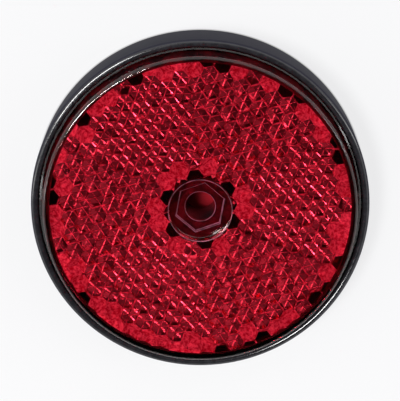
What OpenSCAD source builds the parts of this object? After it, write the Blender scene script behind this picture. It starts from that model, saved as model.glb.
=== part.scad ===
// Round screw-on reflector: a red prismatic lens welded into a black plastic cup.
// It lies on its mounting edge, with the face up. The origin is on the screw axis,
// in the plane that the reflector is screwed down on.

/* [Housing] */
// Outside diameter at the rim
housing_d = 62; // [60:0.5:66]
// Height of the rim's crest above the mounting edge
housing_h = 10.2; // [9.6:0.1:12]
// Thickness of the rim
rim_t = 1.4; // [1.2:0.1:1.6]
// How much the side wall's radius shrinks towards the mounting edge
wall_draft = 0.45; // [0.2:0.05:0.6]
// Thickness of the side wall below the lens seat
wall_t = 2.4; // [2.2:0.1:2.8]
// Thickness of the back plate
back_t = 1.5; // [1.2:0.1:2]
// Depth of the hollow behind the back plate
back_recess = 2.4; // [1.6:0.1:3]
// Number of stiffening ribs behind the back plate
rib_count = 6; // [3:1:8]
// Thickness of each rib
rib_t = 1.2; // [0.8:0.1:1.6]

/* [Lens] */
// Height of the lens face above the rim's crest
lens_rise = 3.7; // [3:0.1:4.5]
// Diameter of the lens at the shoulder of its face
shoulder_d = 57.4; // [56.6:0.1:58]
// Radius of the rounded shoulder
shoulder_r = 0.65; // [0.4:0.05:0.9]
// Thickness of the lens face in front of the prisms
face_t = 1.3; // [1:0.1:1.6]
// Thickness of the lens's side wall
skirt_t = 1.4; // [1:0.1:1.6]

/* [Prisms] */
// Width across flats of one cube-corner prism
prism_pitch = 3.07; // [2.4:0.01:3.4]
// Diameter that the prisms fill
prism_outer_d = 55; // [52:0.1:55.2]
// Diameter at which the prisms stop around the hub
prism_inner_d = 12; // [11.9:0.1:12.4]

/* [Hub] */
// Diameter of the round recess for the screw's head or washer
recess_d = 11.5; // [10:0.1:12]
// Depth of the round recess
recess_depth = 2.2; // [1.5:0.1:2.4]
// Width across flats of the hexagonal pocket, for an M5 hexagon
hex_af = 8.1; // [8:0.05:8.4]
// Depth of the hexagonal pocket below the recess
hex_depth = 0.8; // [0.4:0.1:1]
// Turn of the hexagonal pocket about the screw axis
hex_turn = 19.5; // [0:0.5:60]
// Diameter of the screw hole, for an M5 screw
screw_d = 5.5; // [5.3:0.1:5.8]
// Diameter of the post that carries the hub of the lens
post_d = 12.4; // [12:0.1:12.6]

/* [Hidden] */
$fn = 128;

housing_r = housing_d / 2;
rim_round = rim_t / 2;                          // the rim ends in a full round
wall_in_r = housing_r - rim_t;                  // where the lens sits inside the rim
ledge_r = housing_r - wall_t;                   // inside of the wall below the seat
ledge_z = housing_h - 1.8;                      // ledge that the lens stands on
floor_z = back_recess + back_t;                 // inside face of the back plate
counterbore_d = 9;                              // relief behind the screw hole

lens_top = housing_h + lens_rise;
face_back = lens_top - face_t;                  // back of the face, where the prisms start
prism_depth = prism_pitch * sqrt(2 / 3);        // full depth of one cube corner
prism_mean = prism_depth / 2;                   // depth of a plain band of equal volume
shoulder_rad = shoulder_d / 2;
collar_r = wall_in_r - 0.08;                    // outside of the lens within the rim
collar_z = housing_h - 0.35;                    // where the collar steps in to the side wall
collar_step = 0.35;

recess_z = lens_top - recess_depth;             // floor of the round recess
hex_z = recess_z - hex_depth;                   // floor of the hexagonal pocket
seat_z = hex_z - 1.1;                           // underside of the hub, on top of the post
slack = 0.01;                                   // how far a cut runs past a face

// The cup's section, turned about the screw axis.
module housing_shell() {
    rotate_extrude() difference() {
        union() {
            polygon([
                [counterbore_d / 2, 0],
                [post_d / 2, 0],
                [post_d / 2, back_recess],
                [housing_r - wall_draft - wall_t, back_recess],
                [housing_r - wall_draft - rim_t, 0],
                [housing_r - wall_draft, 0],
                [housing_r, housing_h - rim_round],
                [wall_in_r, housing_h - rim_round],
                [wall_in_r, ledge_z],
                [ledge_r, ledge_z],
                [ledge_r - wall_draft / 2, floor_z],
                [post_d / 2, floor_z],
                [post_d / 2, seat_z],
                [screw_d / 2, seat_z],
                [screw_d / 2, back_recess],
                [counterbore_d / 2, back_recess]
            ]);
            translate([housing_r - rim_round, housing_h - rim_round]) circle(rim_round);
        }
    }
}

module rib() {
    start = post_d / 2 - 0.3;
    end = housing_r - wall_draft - rim_t;
    translate([start, -rib_t / 2, 0]) cube([end - start, rib_t, back_recess + 0.3]);
}

module housing() color([0.05, 0.05, 0.06]) {
    housing_shell();
    for (k = [0 : rib_count - 1]) rotate(k * 360 / rib_count) rib();
}

// The lens's section, turned about the screw axis. The prisms are a plain band here.
module lens_shell() {
    rotate_extrude() {
        polygon([
            [screw_d / 2, seat_z],
            [prism_inner_d / 2, seat_z],
            [prism_inner_d / 2, face_back - prism_mean],
            [prism_outer_d / 2, face_back - prism_mean],
            [prism_outer_d / 2, face_back - 0.4],
            [collar_r - skirt_t, ledge_z],
            [collar_r, ledge_z],
            [collar_r, collar_z],
            [collar_r - collar_step, collar_z + 0.15],
            [shoulder_rad, lens_top - shoulder_r],
            [shoulder_rad - shoulder_r, lens_top - shoulder_r],
            [shoulder_rad - shoulder_r, lens_top],
            [recess_d / 2, lens_top],
            [recess_d / 2, recess_z],
            [screw_d / 2, recess_z]
        ]);
        translate([shoulder_rad - shoulder_r, lens_top - shoulder_r]) circle(shoulder_r);
    }
}

module hex_pocket() {
    translate([0, 0, hex_z]) rotate(hex_turn)
        cylinder(h = hex_depth + slack, d = hex_af / cos(30), $fn = 6);
}

module lens() color([0.75, 0.02, 0.06]) {
    difference() {
        lens_shell();
        hex_pocket();
    }
}

housing();
lens();
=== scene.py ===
"""Looks for the round screw-on reflector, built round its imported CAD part.

The cup and the clear red lens are built here as finer meshes than the CAD part's: the lens
has the cube-corner prisms on the back of its face. Lengths are worked out in millimetres and
turned to metres when a mesh is made.
"""

import math

import bmesh
import bpy
from mathutils import Matrix, Vector


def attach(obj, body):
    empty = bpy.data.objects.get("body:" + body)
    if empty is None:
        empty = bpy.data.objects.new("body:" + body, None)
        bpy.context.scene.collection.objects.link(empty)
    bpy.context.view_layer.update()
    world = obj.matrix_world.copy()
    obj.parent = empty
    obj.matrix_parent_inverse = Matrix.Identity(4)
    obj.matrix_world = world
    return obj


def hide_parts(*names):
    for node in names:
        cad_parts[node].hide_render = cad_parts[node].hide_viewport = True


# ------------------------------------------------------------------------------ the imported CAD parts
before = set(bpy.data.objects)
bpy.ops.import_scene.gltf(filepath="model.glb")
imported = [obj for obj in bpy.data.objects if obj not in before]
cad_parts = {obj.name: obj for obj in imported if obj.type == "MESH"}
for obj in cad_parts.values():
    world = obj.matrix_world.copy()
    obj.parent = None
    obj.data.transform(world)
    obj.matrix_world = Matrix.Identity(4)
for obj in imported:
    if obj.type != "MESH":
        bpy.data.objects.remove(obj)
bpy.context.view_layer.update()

# ------------------------------------------------------------------------------ dimensions, in mm
MM = 0.001                   # one millimetre in metres

# the lens's heights
HOUSING_H = 10.2             # height of the rim's crest above the mounting edge
LENS_TOP = HOUSING_H + 3.7
FACE_BACK = LENS_TOP - 1.3   # back of the face, where the prisms start
RECESS_Z = LENS_TOP - 2.2    # floor of the round recess
HEX_Z = RECESS_Z - 0.8       # floor of the hexagonal pocket
SEAT_Z = HEX_Z - 1.1         # underside of the hub, on top of the post
LEDGE_Z = HOUSING_H - 1.8    # ledge that the lens stands on
COLLAR_Z = HOUSING_H - 0.35  # where the collar steps in to the side wall
GAP = 0.02                   # between the hub and the post, so that the two surfaces don't coincide

# the cup
HOUSING_R = 31.0 - 0.001     # a micrometre inside the CAD cup, so that rounding stays in its box
RIM = 1.4                    # thickness of the rim, which ends in a full round
DRAFT = 0.45                 # how much the side wall's radius shrinks towards the mounting edge
WALL = 2.4                   # thickness of the side wall below the ledge
BACK_RECESS = 2.4            # depth of the hollow behind the back plate
FLOOR_Z = BACK_RECESS + 1.5  # inside face of the back plate
POST_R = 6.2
SCREW_R = 2.75
COUNTERBORE_R = 4.5
WALL_IN = HOUSING_R - RIM
LEDGE_R = HOUSING_R - WALL
RIB_COUNT = 6
RIB_T = 1.2
RIB_START = POST_R - 0.3     # inside the post
FOOT_ROUND = 0.12            # round of the mounting edge
CORNER = 0.1                 # small bevel on the other edges
POST_BEVEL = 0.15            # bevel where the post meets the back plate from behind
FILLET = 0.3                 # bevel in the corners of the cup's floor

# the lens
SHOULDER_R = 28.7
SHOULDER_ROUND = 0.65
SHOULDER_DRAFT = (0.02, 0.3) # how the side wall spreads just below the shoulder: out and down
SKIRT_T = 1.4                # thickness of the lens's side wall
COLLAR_R = WALL_IN - 0.08
COLLAR_STEP = (0.35, 0.15)   # the slope above the collar: in and up
COLLAR_ROUND = 0.12
RECESS_R = 5.75
MOUTH_ROUND = 0.12           # round of the recess's mouth
FACE_RING = 3.0              # from the mouth's round to a ring that keeps the face's shading flat
HEX_R = 8.1 / 2 / math.cos(math.radians(30))
HEX_TURN = 19.5
HEX_BEVEL = 0.14

# the prisms
PITCH = 3.07                 # width across flats of one prism
PRISM_TURN = 38.35           # direction from one prism's axis to the next, in degrees
PRISM_OUT = 27.5
PRISM_IN = 6.0
PRISM_EDGE_Z = FACE_BACK - 0.4    # foot of the wall round the prisms
PRISM_EDGE_BEVEL = 0.15
VALLEY = 0.15                # half width of a valley between two prisms
RIDGE = 0.080                # half width of a ridge between two facets
EDGE_R = 26.8                # no prisms have their axis outside this radius
JITTER = 0.018               # how far a facet's slope differs from prism to prism
# how far a facet leans away from a true cube corner, by (the prism's kind, its facet)
FACET_ERROR = {
    (0, 0): (0.02, 0.0), (0, 1): (-0.012, 0.016), (0, 2): (0.0, -0.02),
    (1, 0): (-0.02, 0.008), (1, 1): (0.016, 0.012), (1, 2): (0.008, -0.02),
}

# a cell is rough where its chance, from -1 to 1, is below its region's number
ROUGH_AT_HUB = 0.3
ROUGH_PRISMS = 0.5
ROUGH_FLATS = -0.1
HUB_REGION = (7.0, 9.0)      # from one radius to the other
OUTER_REGION = 24.6          # outside this radius

# steps round a full circle
TURN_STEPS = 288
PRISM_EDGE_STEPS = 240
SLEEVE_STEPS = 120

# the material slots of the lens and of the cup; the lens's third is painted shade, its fifth a painted
# glint
CLEAR, ROUGH, PAINTED_SHADE, HUB_EDGE, PAINTED_GLINT = range(5)
GLOSSY, MATT = range(2)


# ------------------------------------------------------------------------------ mesh helpers
MERGE = 2e-4                 # points this close are one point, in mm
SHARP = 32.0                 # edges sharper than this stay sharp in the shading, in degrees
ROUNDING = 1e-6              # differences below this come from rounding
CUT_ROUNDING = 1e-9          # the same for a point's distance from a plane that cuts
SMALLEST = 1e-7              # twice the area of the smallest triangle that is kept, in mm2


def make_object(name, builder):
    """A mesh object from what a builder has collected."""
    mesh = bpy.data.meshes.new(name)
    mesh.from_pydata([(x * MM, y * MM, z * MM) for x, y, z in builder.verts], [], builder.faces)
    mesh.polygons.foreach_set("use_smooth", builder.smooth)
    mesh.polygons.foreach_set("material_index", builder.slots)
    bm = bmesh.new()
    bm.from_mesh(mesh)
    bmesh.ops.remove_doubles(bm, verts=bm.verts, dist=MERGE * MM)
    limit = math.radians(SHARP)
    for edge in bm.edges:
        edge.smooth = len(edge.link_faces) == 2 and edge.calc_face_angle(0.0) < limit
    bm.normal_update()
    bm.to_mesh(mesh)
    bm.free()
    mesh.update()
    obj = bpy.data.objects.new(name, mesh)
    bpy.context.scene.collection.objects.link(obj)
    return obj


class Builder:
    """Collects points and faces, in mm."""

    def __init__(self):
        self.verts, self.faces, self.smooth, self.slots = [], [], [], []

    def face(self, points, smooth=False, slot=0):
        base = len(self.verts)
        self.verts.extend(points)
        self.faces.append(list(range(base, base + len(points))))
        self.smooth.append(smooth)
        self.slots.append(slot)

    def lathe(self, profile, steps, slot):
        """Turns (r, z) points about the axis. The solid is on the left of the profile's direction."""
        rings = []
        for r, z in profile:
            rings.append(len(self.verts))
            self.verts.extend(polar(r, 360 * i / steps, z) for i in range(steps))
        for low, high in zip(rings, rings[1:]):
            for i in range(steps):
                j = (i + 1) % steps
                self.faces.append([low + i, low + j, high + j, high + i])
                self.smooth.append(True)
                self.slots.append(slot)


def direction(angle):
    return math.cos(math.radians(angle)), math.sin(math.radians(angle))


def shifted(x, y, angle, length):
    """The point at a length from (x, y), in a direction in degrees."""
    dx, dy = direction(angle)
    return x + length * dx, y + length * dy


def polar(r, angle, z):
    dx, dy = direction(angle)
    return r * dx, r * dy, z


def arc(x, y, r, start, end, steps):
    """Points on an arc from one direction to another, in degrees."""
    return [shifted(x, y, start + (end - start) * i / steps, r) for i in range(steps + 1)]


def cross_lines(p, u, q, v):
    """The point where the line from p along u meets the line from q along v."""
    t = ((q[0] - p[0]) * v[1] - (q[1] - p[1]) * v[0]) / (u[0] * v[1] - u[1] * v[0])
    return p[0] + u[0] * t, p[1] + u[1] * t


def clip(points, nx, ny, c):
    """The part of a polygon where nx * x + ny * y <= c."""
    out = []
    for i in range(len(points)):
        p, q = points[i], points[(i + 1) % len(points)]
        dp, dq = nx * p[0] + ny * p[1] - c, nx * q[0] + ny * q[1] - c
        if dp <= CUT_ROUNDING:
            out.append(p)
        if (dp < -CUT_ROUNDING and dq > CUT_ROUNDING) or (dp > CUT_ROUNDING and dq < -CUT_ROUNDING):
            t = dp / (dp - dq)
            out.append(tuple(u + (v - u) * t for u, v in zip(p, q)))
    return out if len(out) > 2 else []


def chance(x, y):
    """A number from -1 to 1 that looks random and is always the same for one place."""
    return (math.sin(x * 12.9898 + y * 78.233) * 43758.5453) % 2.0 - 1.0


# ------------------------------------------------------------------------------ the prisms' layout
NEXT = [(1, 0), (0, 1), (-1, 1), (-1, 0), (0, -1), (1, -1)]   # neighbours at 0, 60, ... degrees
NO_PRISM = 2


def lattice(limit):
    """{(i, j): (x, y)} of every prism axis within limit of the centre."""
    out = {}
    n = int(limit / PITCH) + 3
    t = math.radians(PRISM_TURN)
    for i in range(-n, n + 1):
        for j in range(-n, n + 1):
            x, y = PITCH * (i + j / 2), PITCH * j * math.sqrt(3) / 2
            if math.hypot(x, y) <= limit:
                out[i, j] = (x * math.cos(t) - y * math.sin(t), x * math.sin(t) + y * math.cos(t))
    return out


def corner_angle(k):
    """The direction from a prism's axis to its corner k."""
    return PRISM_TURN + 30 + 60 * k


def prism_kind(i, j):
    """0 or 1, the two turns of a prism, which change at six sector lines. NO_PRISM is a flat."""
    x, y = i + j / 2, j * math.sqrt(3) / 2
    angle = math.degrees(math.atan2(y, x)) % 360
    on_line = abs((angle + 30) % 60 - 30) < ROUNDING
    second = on_line and abs(math.hypot(x, y) - 2) < ROUNDING     # the line's second cell is a flat
    if second or math.hypot(x, y) * PITCH > EDGE_R:
        return NO_PRISM
    return (int(math.floor((angle + ROUNDING) / 60)) + 1) % 2


def is_rough(x, y):
    """Which cells are rough: a fixed choice that looks random."""
    r = math.hypot(x, y)
    if r < OUTER_REGION:
        return HUB_REGION[0] < r < HUB_REGION[1] and chance(x, y) < ROUGH_AT_HUB
    return chance(x, y) < (ROUGH_PRISMS if r < EDGE_R else ROUGH_FLATS)


# ------------------------------------------------------------------------------ a prism's edges
# a profile's points: how far across the edge, and the height in parts of the sharp edge's height
ROUNDED = [(t / 6, 0.5 * (1 - (t / 3 - 1) ** 2)) for t in range(7)]
# one of the three edges of a prism has a flat: its angle and size by (the prism's kind, its corner)
RIDGE_FLAT = {(0, 1): (36.0, 0.60), (1, 0): (54.0, 0.65)}
VALLEY_FLAT = {(0, 1): (24.5, 0.50), (1, 0): (66.0, 0.65)}
FLAT_TURN = 2.5              # how far a flat's angle differs from prism to prism, in degrees
FLAT_SPREAD = 0.3            # the same for its size, as a part of it


def flat_edge(angle, size):
    """A flat across an edge. Its normal is turned by an angle from one facet's to the other's."""
    u = size * min(1.0, 1 / math.tan(math.radians(angle)))
    v = size * min(1.0, math.tan(math.radians(angle)))
    return [(0.0, 0.0), ((1 - u) / 2 + 1e-4, 1 - u), ((1 + v) / 2 - 1e-4, 1 - v), (1.0, 0.0)]


def edge_profile(flats, key, x, y):
    """The profile of one edge of the prism at (x, y)."""
    if key not in flats:
        return ROUNDED
    angle, size = flats[key]
    return flat_edge(angle + FLAT_TURN * chance(x, y), size * (1 + FLAT_SPREAD * chance(y, x)))


# ------------------------------------------------------------------------------ the prisms' mesh
class PrismField:
    """Triangles of the back of the lens face: cube corners with rounded ridges and valleys."""

    CORNER_R = PITCH / math.sqrt(3)                       # from a prism's axis to its corner
    STEEP = math.sqrt(2)                                  # slope of a facet
    SLOPE = STEEP * math.cos(math.radians(30))            # slope of a facet square to a ridge
    TIP_Z = FACE_BACK - STEEP * CORNER_R                  # height of a prism's sharp tip

    def __init__(self):
        self.cells = lattice(PRISM_OUT + 2 * PITCH)
        self.triangles = []
        self.side = {}      # (cell, d) -> the cell's side towards neighbour d: its two end points
        self.around = {}    # corner of the lattice or axis of a prism -> the points round it
        for key, (cx, cy) in self.cells.items():
            if prism_kind(*key) == NO_PRISM:
                self.add_flat(key, cx, cy)
            else:
                self.add_prism(key, cx, cy)
        for key, (cx, cy) in self.cells.items():
            self.add_valleys(key, cx, cy)
        self.add_corners()

    def add(self, points, smooth, slot):
        for i in range(1, len(points) - 1):
            self.triangles.append(([points[0], points[i], points[i + 1]], smooth, slot))

    def corner(self, cx, cy, k):
        return shifted(cx, cy, corner_angle(k), self.CORNER_R)

    def strip(self, side_a, side_b, lift, profile, ends, rough):
        """A band from side a to side b. ends are the corners that its two short ends belong to."""
        rows = []
        for t, height in profile:
            row = []
            for p, r in zip(side_a, side_b):
                x, y, z = (u + (v - u) * t for u, v in zip(p, r))
                row.append((x, y, z + lift * height))
            rows.append(row)
        # rounded edges get a pale pink painted glint
        slot = ROUGH if rough else PAINTED_GLINT if profile is ROUNDED else CLEAR
        for r, s in zip(rows, rows[1:]):
            self.add([r[0], s[0], s[1], r[1]], profile is ROUNDED and lift != 0.0, slot)
        for e, (x, y) in enumerate(ends):
            key = round(x, 3) + 0.0, round(y, 3) + 0.0
            self.around.setdefault(key, [(x, y), []])[1].extend(r[e] for r in rows)

    def add_flat(self, key, cx, cy):
        """A cell with no prism."""
        r = self.CORNER_R - VALLEY / math.cos(math.radians(30))
        flat = [(*shifted(cx, cy, corner_angle(k), r), FACE_BACK) for k in range(6)]
        self.add(flat, False, ROUGH if is_rough(cx, cy) else CLEAR)
        for d in range(6):
            self.side[key, d] = (flat[d - 1], flat[d])

    def facet(self, cx, cy, k, kind):
        """The facet towards corner k: the points at the tip, one side, the corner and the other side."""
        towards = corner_angle(k)
        dx, dy = direction(towards)
        ex, ey = FACET_ERROR[kind, k // 2]
        dx += ex + JITTER * chance(cx + k, cy)
        dy += ey + JITTER * chance(cx, cy + k)

        def at(x, y):
            return x, y, self.TIP_Z + self.STEEP * ((x - cx) * dx + (y - cy) * dy)

        sides = []
        for sign in (-1, 1):
            on_ridge = shifted(cx, cy, towards - 30 * sign, RIDGE)
            on_side = shifted(cx, cy, towards + 30 * sign, PITCH / 2 - VALLEY)
            along_ridge, along_side = direction(towards + 60 * sign), direction(towards + 120 * sign)
            sides.append(at(*cross_lines(on_ridge, along_ridge, on_side, along_side)))
        near_r = RIDGE / math.sin(math.radians(60))
        far_r = self.CORNER_R - VALLEY / math.sin(math.radians(60))
        near, far = shifted(cx, cy, towards, near_r), shifted(cx, cy, towards, far_r)
        return at(*near), sides[0], at(*far), sides[1]

    def add_prism(self, key, cx, cy):
        """Three facets and the three ridges between them."""
        kind = prism_kind(*key)
        rough = is_rough(cx, cy)
        facets = {k: self.facet(cx, cy, k, kind) for k in range(6) if (k + kind) % 2 == 0}
        for k, (near, side_a, far, side_b) in facets.items():
            self.add([near, side_a, far, side_b], False, ROUGH if rough else CLEAR)
            self.side[key, k] = (side_a, far)
            self.side[key, (k + 1) % 6] = (far, side_b)
        for k, (near, _, _, side_b) in facets.items():
            c = (k + 1) % 6                                             # the corner that the ridge runs to
            next_near, next_side, _, _ = facets[(k + 2) % 6]
            profile = edge_profile(RIDGE_FLAT, (kind, c), cx, cy)
            ends = [(cx, cy), self.corner(cx, cy, c)]
            self.strip((near, side_b), (next_near, next_side), -self.SLOPE * RIDGE, profile, ends, rough)

    def add_valleys(self, key, cx, cy):
        """The valleys from a cell to its neighbours, each made once."""
        for d in range(6):
            other = (key[0] + NEXT[d][0], key[1] + NEXT[d][1])
            if other not in self.cells or not key < other:
                continue
            lift, profile = 0.0, ROUNDED
            kind = prism_kind(*key)
            if kind == prism_kind(*other) != NO_PRISM:
                lift = self.SLOPE * VALLEY
                profile = edge_profile(VALLEY_FLAT, (kind, (d + 1) % 6), cx, cy)
            ends = [self.corner(cx, cy, d - 1), self.corner(cx, cy, d)]
            rough = is_rough(cx, cy) or is_rough(*self.cells[other])
            far_side = self.side[other, (d + 3) % 6][::-1]
            self.strip(self.side[key, d], far_side, lift, profile, ends, rough)

    def add_corners(self):
        """Fans that close the field at the prisms' tips and corners."""
        # the fans get the pale pink painted glint too
        for (x, y), points in self.around.values():
            ring = {(round(p[0], 5), round(p[1], 5)): p for p in points}
            ring = sorted(ring.values(), key=lambda p: math.atan2(p[1] - y, p[0] - x))
            if len(ring) < 9:        # a corner at the edge of the lattice, without all its cells
                continue
            middle = (x, y, sum(p[2] for p in ring) / len(ring))
            for i in range(len(ring)):
                self.add([middle, ring[i], ring[(i + 1) % len(ring)]], True, PAINTED_GLINT)

    def seen_from_below(self):
        """(points, smooth, slot) of every triangle, each counterclockwise from below."""
        for points, smooth, slot in self.triangles:
            (ax, ay, _), (bx, by, _), (cx, cy, _) = points
            double_area = (bx - ax) * (cy - ay) - (by - ay) * (cx - ax)
            if abs(double_area) > SMALLEST:
                yield [points[0], points[2], points[1]] if double_area > 0 else points, smooth, slot


def walls(builder, points, nx, ny, c, to_z, outward, slot):
    """Walls from a clipped polygon's sides on the cutting plane to the height to_z."""
    for i in range(len(points)):
        p, q = points[i], points[(i + 1) % len(points)]
        off_plane = max(abs(nx * p[0] + ny * p[1] - c), abs(nx * q[0] + ny * q[1] - c))
        if off_plane < ROUNDING and math.hypot(p[0] - q[0], p[1] - q[1]) > ROUNDING:
            top_p, top_q = (p[0], p[1], to_z), (q[0], q[1], to_z)
            builder.face([q, p, top_p, top_q] if outward else [p, q, top_q, top_p], False, slot)


def clip_outside(builder, points, limit):
    """Cuts a triangle off at the prisms' outer edge and adds the edge's wall."""
    step = 360 / PRISM_EDGE_STEPS
    towards = math.degrees(math.atan2(sum(p[1] for p in points), sum(p[0] for p in points)))
    nearest = int(math.floor(towards / step))
    reach = 5                    # a triangle spans no more than this many steps to each side
    cuts = [direction((i + 0.5) * step) for i in range(nearest - reach, nearest + reach + 1)]
    for nx, ny in cuts:
        points = clip(points, nx, ny, limit)
    # the edge's wall is painted shade, near black
    for nx, ny in cuts:
        walls(builder, points, nx, ny, limit, PRISM_EDGE_Z, True, PAINTED_SHADE)
    return points


def clip_inside(builder, points, limit, smooth, slot):
    """Adds what lies outside the hub's sleeve, one slice of the sleeve at a time."""
    step = 360 / SLEEVE_STEPS
    for i in range(SLEEVE_STEPS):
        start, middle, end = direction(i * step), direction((i + 0.5) * step), direction((i + 1) * step)
        part = clip(points, start[1], -start[0], 0.0)
        part = clip(part, -end[1], end[0], 0.0)
        part = clip(part, -middle[0], -middle[1], -limit)
        if part:
            builder.face(part, smooth, slot)
            walls(builder, part, -middle[0], -middle[1], -limit, SEAT_Z + GAP, False, CLEAR)


def add_prisms(builder):
    """The prisms between the hub's sleeve and their outer edge."""
    outer_limit = PRISM_OUT * math.cos(math.pi / PRISM_EDGE_STEPS)
    inner_limit = PRISM_IN * math.cos(math.pi / SLEEVE_STEPS)
    for points, smooth, slot in PrismField().seen_from_below():
        radii = [math.hypot(p[0], p[1]) for p in points]
        if min(radii) > PRISM_OUT + PITCH or max(radii) < inner_limit - PITCH:
            continue
        if max(radii) > outer_limit:
            points = clip_outside(builder, points, outer_limit)
        if min(radii) < PRISM_IN + PITCH:
            clip_inside(builder, points, inner_limit, smooth, slot)
        elif points:
            builder.face(points, smooth, slot)


# ------------------------------------------------------------------------------ the lens
def hex_at(angle, scale=1.0):
    """The hexagonal pocket's edge in a direction, in degrees."""
    from_flat = (angle - HEX_TURN) % 60 - 30
    r = HEX_R * math.cos(math.radians(30)) / math.cos(math.radians(from_flat)) * scale
    return r * math.cos(math.radians(angle)), r * math.sin(math.radians(angle))


def hub_section(angle):
    """Points from the recess's floor through the pocket and the screw hole to the sleeve."""
    bevel = HEX_BEVEL / HEX_R
    return [
        polar(RECESS_R - CORNER, angle, RECESS_Z),
        (*hex_at(angle, 1 + bevel), RECESS_Z),
        (*hex_at(angle), RECESS_Z - HEX_BEVEL),
        (*hex_at(angle), HEX_Z + HEX_BEVEL),
        (*hex_at(angle, 1 - bevel), HEX_Z),
        polar(SCREW_R + CORNER, angle, HEX_Z),
        polar(SCREW_R, angle, HEX_Z - CORNER),
        polar(SCREW_R, angle, SEAT_Z + GAP),
        polar(PRISM_IN, angle, SEAT_Z + GAP),
    ]


# the slots of the faces between those points; the last, under the hub on the post, is painted shade
HUB_SLOTS = [CLEAR, HUB_EDGE, CLEAR, HUB_EDGE, CLEAR, HUB_EDGE, CLEAR, PAINTED_SHADE]


def add_hub(builder):
    """The hub from the recess's floor down, with the hexagon's corners as exact points."""
    marks = {round(360 * i / TURN_STEPS, 6) for i in range(TURN_STEPS)}
    marks |= {round((HEX_TURN + 60 * k) % 360, 6) for k in range(6)}
    marks = sorted(marks)
    for start, end in zip(marks, marks[1:] + [marks[0] + 360]):
        one, two = hub_section(start), hub_section(end)
        for k, slot in enumerate(HUB_SLOTS):
            builder.face([one[k], two[k], two[k + 1], one[k + 1]], True, slot)


def build_lens():
    b = Builder()
    round_r, round_z = SHOULDER_R - SHOULDER_ROUND, LENS_TOP - SHOULDER_ROUND
    skirt_r = COLLAR_R - SKIRT_T
    outside = [(skirt_r, LEDGE_Z), (COLLAR_R, LEDGE_Z), (COLLAR_R, COLLAR_Z - COLLAR_ROUND)]
    outside += arc(COLLAR_R - COLLAR_ROUND, COLLAR_Z - COLLAR_ROUND, COLLAR_ROUND, 0, 70, 3)
    outside += [(COLLAR_R - COLLAR_STEP[0], COLLAR_Z + COLLAR_STEP[1])]
    outside += [(SHOULDER_R + SHOULDER_DRAFT[0], round_z - SHOULDER_DRAFT[1])]
    outside += arc(round_r, round_z, SHOULDER_ROUND, 2, 90, 10)
    outside += [(RECESS_R + MOUTH_ROUND + FACE_RING, LENS_TOP)]
    mouth = arc(RECESS_R + MOUTH_ROUND, LENS_TOP - MOUTH_ROUND, MOUTH_ROUND, 90, 180, 4)
    recess = [mouth[-1], (RECESS_R, RECESS_Z + CORNER), (RECESS_R - CORNER, RECESS_Z)]
    b.lathe(outside + mouth[:1], TURN_STEPS, CLEAR)
    b.lathe(mouth, TURN_STEPS, HUB_EDGE)
    b.lathe(recess, TURN_STEPS, CLEAR)
    add_hub(b)
    add_prisms(b)
    inside = [(PRISM_OUT, PRISM_EDGE_Z)]
    inside += [(PRISM_OUT + PRISM_EDGE_BEVEL, PRISM_EDGE_Z - PRISM_EDGE_BEVEL), (skirt_r, LEDGE_Z)]
    # a near-black painted shade on the slope from the prisms' edge to the skirt
    b.lathe(inside, PRISM_EDGE_STEPS, PAINTED_SHADE)
    return make_object("lens_moulding", b)


# ------------------------------------------------------------------------------ the cup
RIM_STEPS = 18               # steps round the rim's half circle
MATT_STEPS = 5               # how many of them belong to the matt outer side


def add_rib(builder, angle):
    """A rib behind the back plate, with bevelled edges. Its ends lie inside the post and the wall."""
    along, across = direction(angle), direction(angle + 90)

    def at(x, y, z):
        return along[0] * x + across[0] * y, along[1] * x + across[1] * y, z

    end = HOUSING_R - DRAFT - RIM
    half, top = RIB_T / 2, BACK_RECESS + CORNER
    section = [(-half, top), (-half, CORNER), (-half + CORNER, 0.0)]
    section += [(half - CORNER, 0.0), (half, CORNER), (half, top)]
    for p, q in zip(section, section[1:]):
        builder.face([at(RIB_START, *p), at(end, *p), at(end, *q), at(RIB_START, *q)])


def build_housing():
    b = Builder()
    foot_r = HOUSING_R - DRAFT
    floor_r = LEDGE_R - DRAFT / 2
    back = [(COUNTERBORE_R, CORNER), (COUNTERBORE_R + CORNER, 0.0)]
    back += [(POST_R - CORNER, 0.0), (POST_R, CORNER)]
    back += [(POST_R, BACK_RECESS - POST_BEVEL), (POST_R + POST_BEVEL, BACK_RECESS)]
    back += [(foot_r - WALL, BACK_RECESS), (foot_r - RIM, 0.0)]
    back += arc(foot_r - FOOT_ROUND, FOOT_ROUND, FOOT_ROUND, -90, 0, 4)
    rim = arc(HOUSING_R - RIM / 2, HOUSING_H - RIM / 2, RIM / 2, 0, 180, RIM_STEPS)
    outer_side = back[-1:] + rim[:MATT_STEPS + 1]
    inside = rim[MATT_STEPS:] + [(WALL_IN, LEDGE_Z), (LEDGE_R, LEDGE_Z)]
    inside += [(floor_r, FLOOR_Z + FILLET), (floor_r - FILLET, FLOOR_Z)]
    inside += [(POST_R + FILLET, FLOOR_Z), (POST_R, FLOOR_Z + FILLET), (POST_R, SEAT_Z)]
    inside += [(SCREW_R, SEAT_Z), (SCREW_R, BACK_RECESS), (COUNTERBORE_R, BACK_RECESS), back[0]]
    b.lathe(back, TURN_STEPS, GLOSSY)
    b.lathe(outer_side, TURN_STEPS, MATT)
    b.lathe(inside, TURN_STEPS, GLOSSY)
    for k in range(RIB_COUNT):
        add_rib(b, k * 360 / RIB_COUNT)
    return make_object("cup_moulding", b)


# ------------------------------------------------------------------------------ materials
IOR = 1.49                   # of acrylic
MIX_FACTOR, MIX_A, MIX_B, MIX_RESULT = 0, 6, 7, 2    # a Mix node's sockets for colours


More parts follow.
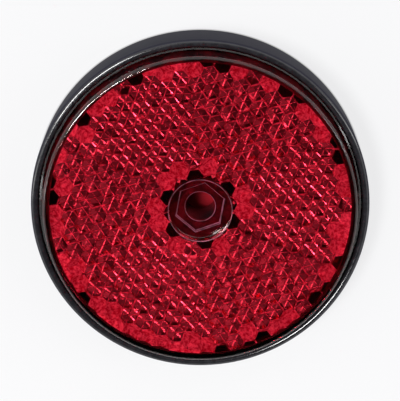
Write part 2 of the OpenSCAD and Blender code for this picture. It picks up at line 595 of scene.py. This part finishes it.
class Material:
    """A material with a principled shader. Its patterns lie in the object's own coordinates."""

    def __init__(self, name):
        self.data = bpy.data.materials.new(name)
        self.data.use_nodes = True
        self.nodes, self.links = self.data.node_tree.nodes, self.data.node_tree.links
        self.nodes.clear()
        out = self.nodes.new("ShaderNodeOutputMaterial")
        self.shader = self.nodes.new("ShaderNodeBsdfPrincipled")
        self.links.new(self.shader.outputs[0], out.inputs["Surface"])
        self.coord = self.nodes.new("ShaderNodeTexCoord")

    def set(self, **values):
        """Constant values of the shader, with _ for each space in a socket's name."""
        for name, value in values.items():
            self.shader.inputs[name.replace("_", " ")].default_value = value

    def link(self, output, name):
        self.links.new(output, self.shader.inputs[name])

    def noise(self, scale, detail=3.0, roughness=0.5):
        n = self.nodes.new("ShaderNodeTexNoise")
        n.inputs["Scale"].default_value = scale
        n.inputs["Detail"].default_value = detail
        n.inputs["Roughness"].default_value = roughness
        self.links.new(self.coord.outputs["Object"], n.inputs["Vector"])
        return n.outputs["Fac"]

    def colour(self, noise, dark, light, spread):
        """Two colours mixed by a noise, over a spread to each side of its middle value."""
        r = ramp(self.nodes, [(0.5 - spread, dark), (0.5 + spread, light)])
        self.links.new(noise, r.inputs["Fac"])
        return r.outputs["Color"]

    def bump(self, noise, strength, distance):
        b = self.nodes.new("ShaderNodeBump")
        b.inputs["Strength"].default_value = strength
        b.inputs["Distance"].default_value = distance
        self.links.new(noise, b.inputs["Height"])
        self.link(b.outputs["Normal"], "Normal")

    def map_range(self, value, start, end, low=0.0, high=1.0, kind="LINEAR"):
        m = self.nodes.new("ShaderNodeMapRange")
        m.interpolation_type = kind
        for name, number in zip(("From Min", "From Max", "To Min", "To Max"), (start, end, low, high)):
            m.inputs[name].default_value = number
        self.links.new(value, m.inputs["Value"])
        return m.outputs["Result"]


def ramp(nodes, stops):
    r = nodes.new("ShaderNodeValToRGB")
    ends = r.color_ramp.elements
    ends[0].position, ends[0].color = stops[0][0], (*stops[0][1], 1)
    ends[1].position, ends[1].color = stops[-1][0], (*stops[-1][1], 1)
    for position, colour in stops[1:-1]:
        ends.new(position).color = (*colour, 1)
    return r


def clear_material():
    """Clear red acrylic with a slightly wavy surface."""
    m = Material("clear_red_acrylic")
    red = m.colour(m.noise(260.0), dark=(0.73, 0.022, 0.046), light=(0.81, 0.030, 0.060), spread=0.2)
    m.link(red, "Base Color")
    m.set(Roughness=0.0, IOR=IOR, Transmission_Weight=1.0)
    m.bump(m.noise(1600.0), strength=1.0, distance=0.000015)
    return m.data


def rough_material(name, dark, light, scale):
    """Rough opaque red: where the lens's back scatters light, and also painted shade and painted glints.
    """
    m = Material(name)
    m.link(m.colour(m.noise(scale, detail=5.0, roughness=0.6), dark, light, spread=0.1), "Base Color")
    m.set(Roughness=0.5, IOR=IOR)
    return m.data


def housing_material(name, dark, light, roughness, specular):
    """Black plastic with a fine grain."""
    m = Material(name)
    grain = m.noise(900.0)
    m.link(m.colour(grain, dark, light, spread=0.15), "Base Color")
    m.link(m.map_range(grain, 0.0, 1.0, low=roughness, high=roughness + 0.08), "Roughness")
    m.set(IOR=1.5, Specular_IOR_Level=specular)
    m.bump(m.noise(5200.0, detail=2.0), strength=0.005, distance=0.00005)
    return m.data


def floor_material():
    """A glowing light table; painted shade under the object, painted red light under the screw hole."""
    m = Material("pale_floor")
    pale = m.colour(m.noise(3.0), dark=(0.103, 0.103, 0.104), light=(0.107, 0.107, 0.108), spread=0.2)
    from_axis = m.nodes.new("ShaderNodeVectorMath")
    from_axis.operation = "LENGTH"
    m.links.new(m.coord.outputs["Object"], from_axis.inputs[0])
    radius = from_axis.outputs["Value"]
    # painted red light on the floor below the screw hole, standing in for light through the red lens
    painted_red_light = m.nodes.new("ShaderNodeMix")
    painted_red_light.data_type = "RGBA"
    painted_red_light.inputs[MIX_A].default_value = (0.32, 0.012, 0.02, 1)
    m.links.new(m.map_range(radius, 0.004, 0.006), painted_red_light.inputs[MIX_FACTOR])
    m.links.new(pale, painted_red_light.inputs[MIX_B])
    m.link(painted_red_light.outputs[MIX_RESULT], "Base Color")
    m.link(pale, "Emission Color")
    # the glow stops right under the object: painted shade there
    m.link(m.map_range(radius, 0.0303, 0.0309, high=7.3, kind="SMOOTHSTEP"), "Emission Strength")
    m.set(Roughness=1.0, Specular_IOR_Level=0.0)
    return m.data


# ------------------------------------------------------------------------------ the two pieces
lens = build_lens()
for material in (                                         # in the order of the lens's slots
    clear_material(),
    rough_material("frosted_red", (0.50, 0.05, 0.15), (1.0, 0.90, 1.0), 1500.0),
    # painted shade: a near-black red where the lens looks dark only from the shade behind it
    rough_material("painted_shade_red", (0.004, 0.001, 0.002), (0.10, 0.010, 0.028), 400.0),
    rough_material("edge_red", (0.02, 0.004, 0.008), (0.24, 0.05, 0.09), 500.0),
    # painted glint: a pale pink on the prisms' rounded edges, standing in for their highlights
    rough_material("painted_glint_red", (0.16, 0.03, 0.05), (0.88, 0.60, 0.75), 1100.0),
):
    lens.data.materials.append(material)
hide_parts("lens")
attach(lens, "root")

cup = build_housing()
for material in (                                         # in the order of the cup's slots
    housing_material("black_abs", (0.010, 0.010, 0.012), (0.016, 0.016, 0.019), 0.08, 0.5),
    housing_material("matt_black_abs", (0.017, 0.0165, 0.024), (0.019, 0.0185, 0.0265), 0.60, 0.05),
):
    cup.data.materials.append(material)
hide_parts("housing")
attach(cup, "root")

# ------------------------------------------------------------------------------ floor and light
FLOOR = 4000                 # half the floor's width, in mm
floor_builder = Builder()
floor_builder.face([(-FLOOR, -FLOOR, 0), (FLOOR, -FLOOR, 0), (FLOOR, FLOOR, 0), (-FLOOR, FLOOR, 0)])
floor = make_object("floor", floor_builder)
floor.data.materials.append(floor_material())

BOUNCES = 24                 # light runs through several prisms before it leaves the lens
scene = bpy.context.scene
scene.view_settings.view_transform = "Standard"
scene.cycles.max_bounces = BOUNCES
scene.cycles.glossy_bounces = BOUNCES
scene.cycles.transmission_bounces = BOUNCES

# the direction that the lens face mirrors to the camera, where the room is darkest
DARKEST = (0.0, -0.29, 0.957)
# the room's light against the cosine of the angle from its darkest direction
ROOM = [
    (0.0, 1.5), (0.3, 1.4), (0.7, 0.9), (0.79, 0.34),
    (0.84, 0.18), (0.88, 0.06), (0.95, 0.015), (1.0, 0.01),
]


def build_world():
    """A dark room overhead that gets light towards the horizon."""
    world = bpy.data.worlds.new("studio")
    world.use_nodes = True
    nodes, links = world.node_tree.nodes, world.node_tree.links
    coord = nodes.new("ShaderNodeTexCoord")
    near = nodes.new("ShaderNodeVectorMath")
    near.operation = "DOT_PRODUCT"
    near.inputs[1].default_value = DARKEST
    links.new(coord.outputs["Generated"], near.inputs[0])
    r = ramp(nodes, [(cosine, (light, light, light)) for cosine, light in ROOM])
    links.new(near.outputs["Value"], r.inputs["Fac"])
    links.new(r.outputs["Color"], nodes["Background"].inputs["Color"])
    nodes["Background"].inputs["Strength"].default_value = 1.0
    return world


LIGHT_DISTANCE = 1.2         # in metres


def upward(x, y):
    """The upward direction with these x and y parts."""
    return Vector((x, y, math.sqrt(1 - x * x - y * y)))


def softbox(name, start, end, width, radiance):
    """A long light whose middle line runs between two directions, given by their x and y parts."""
    a, b = upward(*start), upward(*end)
    out = (a + b).normalized()
    along = (b - a).normalized()
    across = out.cross(along)
    light = bpy.data.lights.new(name, "AREA")
    light.shape = "RECTANGLE"
    light.size, light.size_y = (b - a).length * LIGHT_DISTANCE, width * LIGHT_DISTANCE
    light.energy = radiance * math.pi * light.size * light.size_y
    obj = bpy.data.objects.new(name, light)
    axes = Matrix((along, across, out)).transposed().to_4x4()
    obj.matrix_world = Matrix.Translation(out * LIGHT_DISTANCE) @ axes
    scene.collection.objects.link(obj)


scene.world = build_world()
softbox("left", (-0.45, -0.045), (-0.97, -0.19), width=0.12, radiance=3.8)
softbox("right", (0.40, 0.135), (0.97, 0.13), width=0.12, radiance=5.0)
softbox("rim light", (-0.19, 0.135), (-0.38, -0.05), width=0.20, radiance=60.0)

# ------------------------------------------------------------------------------ camera
TILT = 15.7                  # from the screw axis towards +Y, in degrees
DISTANCE = 0.600             # from the middle of the rim's crest, in metres
VIEW_HEIGHT = 73.33577       # what the picture shows from top to bottom at that distance, in mm
SHIFT_RIGHT = -0.036576445   # where the picture's middle is from the rim's, in mm
SHIFT_UP = 0.8778347
SENSOR = 36.0                # in mm


def add_camera():
    right = Vector((1, 0, 0))
    out = Vector((0, math.sin(math.radians(TILT)), math.cos(math.radians(TILT))))
    up = out.cross(right)
    data = bpy.data.cameras.new("camera")
    data.sensor_width = SENSOR
    data.lens = SENSOR * DISTANCE / (VIEW_HEIGHT * MM)
    data.clip_start, data.clip_end = 0.05, 20.0
    camera = bpy.data.objects.new("camera", data)
    target = (Vector((0, 0, HOUSING_H)) + up * SHIFT_UP + right * SHIFT_RIGHT) * MM
    axes = Matrix((right, up, out)).transposed().to_4x4()
    camera.matrix_world = Matrix.Translation(target + out * DISTANCE) @ axes
    scene.collection.objects.link(camera)
    scene.camera = camera


add_camera()
